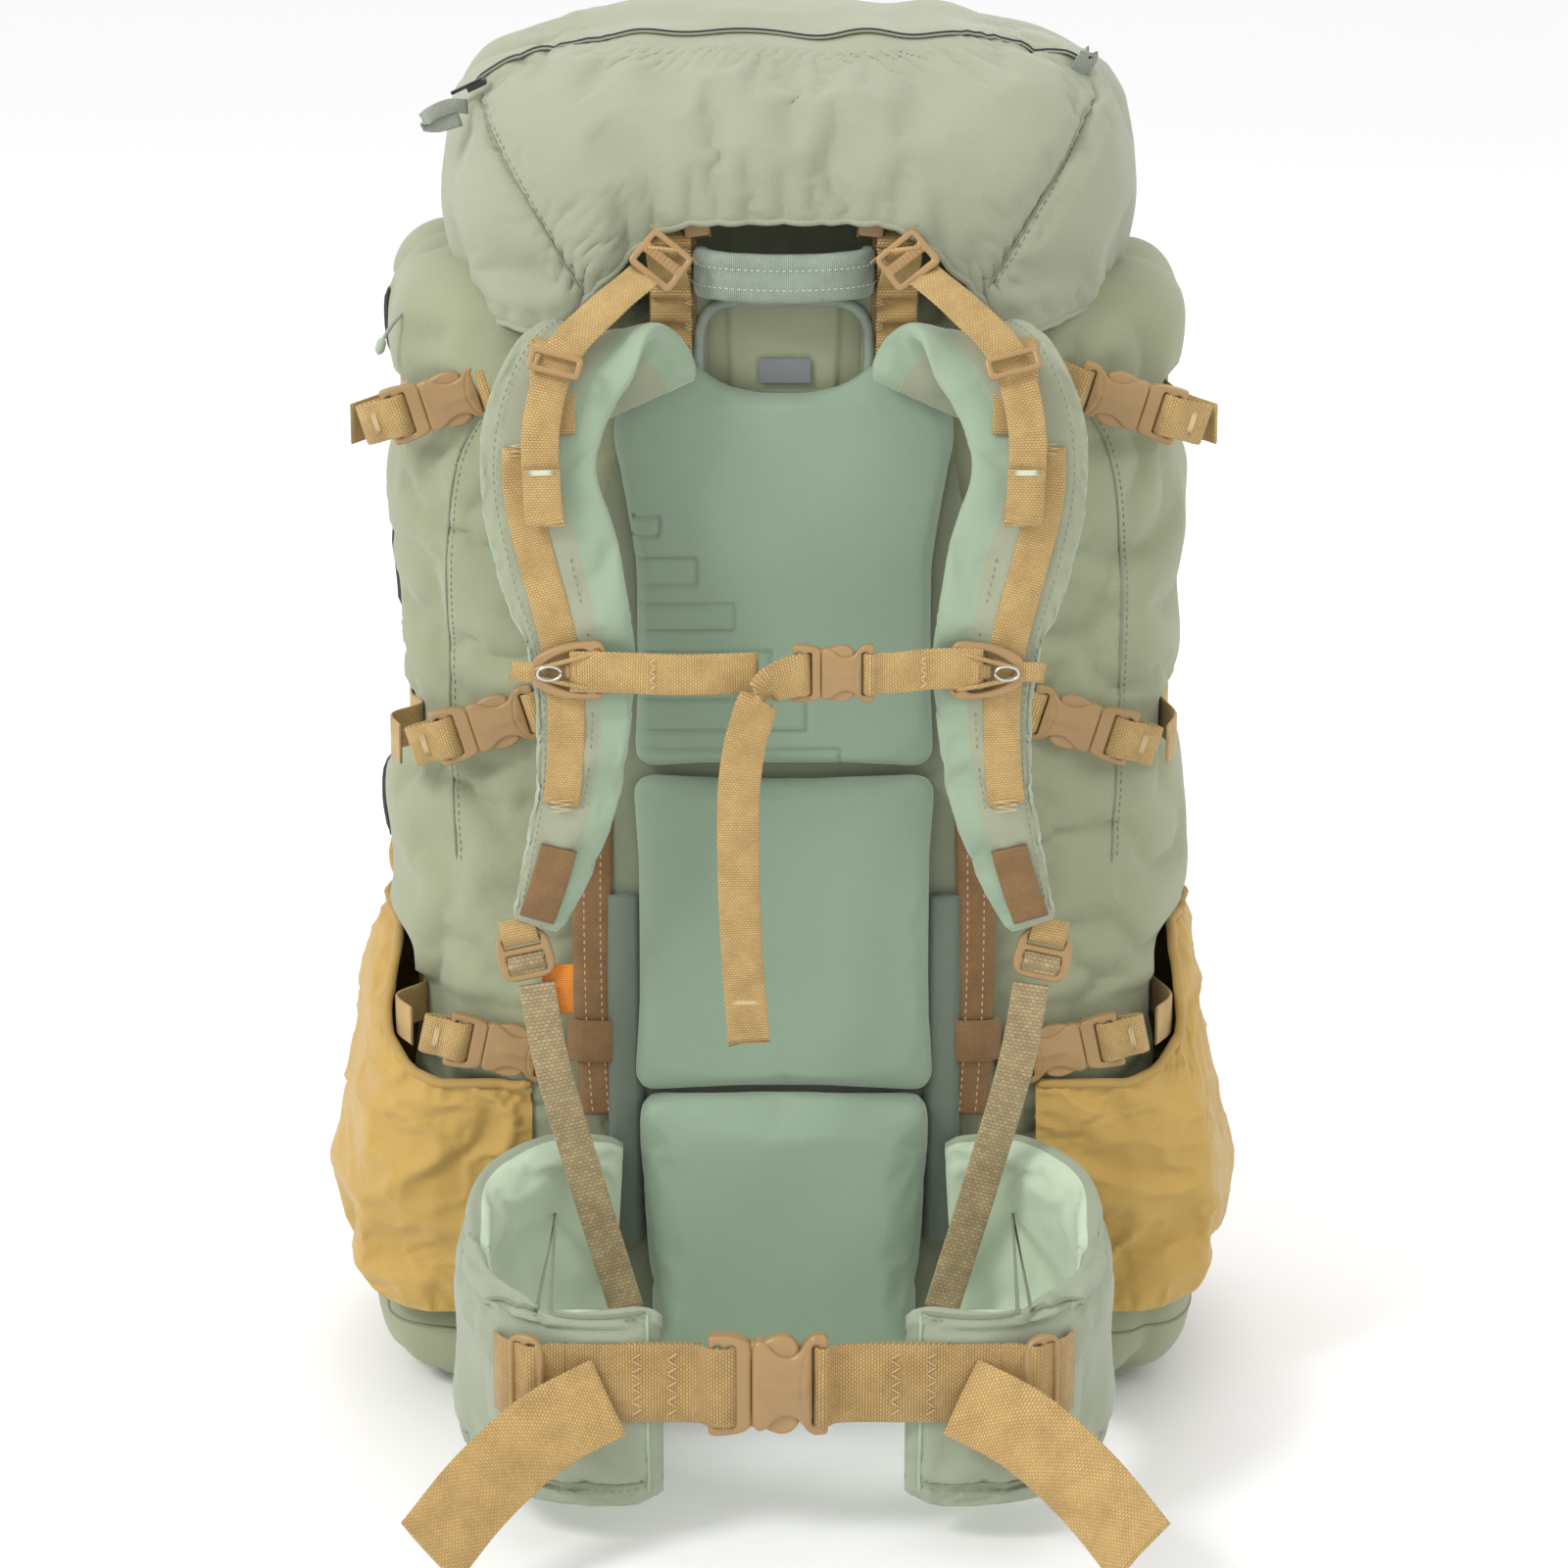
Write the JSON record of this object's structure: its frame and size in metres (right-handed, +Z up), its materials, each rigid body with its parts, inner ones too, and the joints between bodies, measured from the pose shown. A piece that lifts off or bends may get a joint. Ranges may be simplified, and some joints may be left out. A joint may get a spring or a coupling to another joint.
{
  "type": "hunting backpack",
  "caption": "Framed hunting backpack with a hinged top lid, padded shoulder harness, sternum strap, hip belt, side pockets and side-release compression straps.",
  "frame": {"origin": "on the ground at the middle of the pack's box, below the frame plane between bag and harness", "axes": "+Z up, -Y towards the wearer (harness side), +X to the right seen from the harness side"},
  "size_m": [0.5672, 0.6079, 0.875],
  "materials": {
    "shell": "matte ripstop nylon, sage",
    "padding": "matte foam-backed stretch fabric, teal sage",
    "strap_padding": "matte spacer fabric, pale grey green",
    "pocket": "matte coated nylon, coyote",
    "webbing": "woven webbing, tan",
    "hardware": "moulded acetal, tan, satin",
    "frame_plastic": "matte polyethylene sheet, near black",
    "stay_metal": "satin bar",
    "handle_wrap": "matte wrapped webbing, grey green"
  },
  "bodies": {
    "pack": {"bag_body": "shell", "side_pocket_left": "pocket", "side_pocket_right": "pocket", "frame_sheet": "frame_plastic", "stay_left": "stay_metal", "stay_right": "stay_metal", "lifter_anchor_left": "webbing", "lifter_anchor_right": "webbing", "haul_handle": "handle_wrap", "yoke_panel": "padding", "back_pad": "padding", "lumbar_pad": "padding", "shoulder_strap_left": "strap_padding", "load_lifter_left": "webbing", "lifter_buckle_left": "hardware", "strap_adjuster_left": "hardware", "lower_strap_left": "webbing", "shoulder_strap_right": "strap_padding", "load_lifter_right": "webbing", "lifter_buckle_right": "hardware", "strap_adjuster_right": "hardware", "lower_strap_right": "webbing", "lid_socket": "hardware", "compression_strap_upper": "webbing", "side_socket_upper_left": "hardware", "side_socket_upper_right": "hardware", "compression_strap_mid": "webbing", "side_socket_mid_left": "hardware", "side_socket_mid_right": "hardware", "compression_strap_lower": "webbing", "side_socket_lower_left": "hardware", "side_socket_lower_right": "hardware"},
    "lid": {"lid": "shell", "lid_plug": "hardware", "lid_webbing": "webbing"},
    "lid_zip": {"lid_zip_slider": "hardware"},
    "belt_left": {"belt_wing_left": "padding", "belt_webbing_left": "webbing", "belt_tail_left": "webbing", "belt_ladder_left": "hardware", "belt_plug": "hardware"},
    "belt_right": {"belt_wing_right": "padding", "belt_webbing_right": "webbing", "belt_tail_right": "webbing", "belt_ladder_right": "hardware", "belt_socket": "hardware"},
    "sternum": {"sternum_slider_left": "hardware", "sternum_slider_right": "hardware", "sternum_webbing_left": "webbing", "sternum_webbing_right": "webbing", "sternum_socket": "hardware"},
    "sternum_release": {"sternum_plug": "hardware", "sternum_tail": "webbing"},
    "side_zip": {"side_zip_slider": "hardware"},
    "side_release_upper_left": {"side_plug_upper_left": "hardware"},
    "side_release_upper_right": {"side_plug_upper_right": "hardware"},
    "side_release_mid_left": {"side_plug_mid_left": "hardware"},
    "side_release_mid_right": {"side_plug_mid_right": "hardware"},
    "side_release_lower_left": {"side_plug_lower_left": "hardware"},
    "side_release_lower_right": {"side_plug_lower_right": "hardware"}
  },
  "joints": [
    {"name": "lid_hinge", "type": "hinge", "parent": "pack", "child": "lid", "pos_m": [0, -0.016, 0.771], "axis": [1, 0, 0], "range_deg": [0, 90]},
    {"name": "lid_zip_pull", "type": "hinge", "parent": "lid", "child": "lid_zip", "pos_m": [0, 0.066, 0.44], "axis": [0, 1, 0], "range_deg": [0, 50]},
    {"name": "belt_left_swing", "type": "hinge", "parent": "pack", "child": "belt_left", "pos_m": [-0.1, -0.025, 0.11], "axis": [0, 0, -1], "range_deg": [0, 30]},
    {"name": "belt_right_swing", "type": "hinge", "parent": "pack", "child": "belt_right", "pos_m": [0.1, -0.025, 0.11], "axis": [0, 0, 1], "range_deg": [0, 30]},
    {"name": "sternum_height", "type": "slide", "parent": "pack", "child": "sternum", "axis": [0, 0, 1], "range_m": [-0.03, 0.03]},
    {"name": "sternum_buckle_release", "type": "slide", "parent": "sternum", "child": "sternum_release", "axis": [-1, 0, 0], "range_m": [0, 0.018]},
    {"name": "side_zip_pull", "type": "slide", "parent": "pack", "child": "side_zip", "axis": [0, 0, -1], "range_m": [0, 0.29]},
    {"name": "side_buckle_upper_left", "type": "slide", "parent": "pack", "child": "side_release_upper_left", "axis": [-0.9563, 0, -0.2924], "range_m": [0, 0.018]},
    {"name": "side_buckle_upper_right", "type": "slide", "parent": "pack", "child": "side_release_upper_right", "axis": [0.9563, 0, -0.2924], "range_m": [0, 0.018]},
    {"name": "side_buckle_mid_left", "type": "slide", "parent": "pack", "child": "side_release_mid_left", "axis": [-0.9563, 0, -0.2924], "range_m": [0, 0.018]},
    {"name": "side_buckle_mid_right", "type": "slide", "parent": "pack", "child": "side_release_mid_right", "axis": [0.9563, 0, -0.2924], "range_m": [0, 0.018]},
    {"name": "side_buckle_lower_left", "type": "slide", "parent": "pack", "child": "side_release_lower_left", "axis": [-0.9781, 0, 0.2079], "range_m": [0, 0.018]},
    {"name": "side_buckle_lower_right", "type": "slide", "parent": "pack", "child": "side_release_lower_right", "axis": [0.9781, 0, 0.2079], "range_m": [0, 0.018]}
  ],
  "couplings": [
    {"joint": "belt_right_swing", "follows": "belt_left_swing", "ratio": 1}
  ]
}
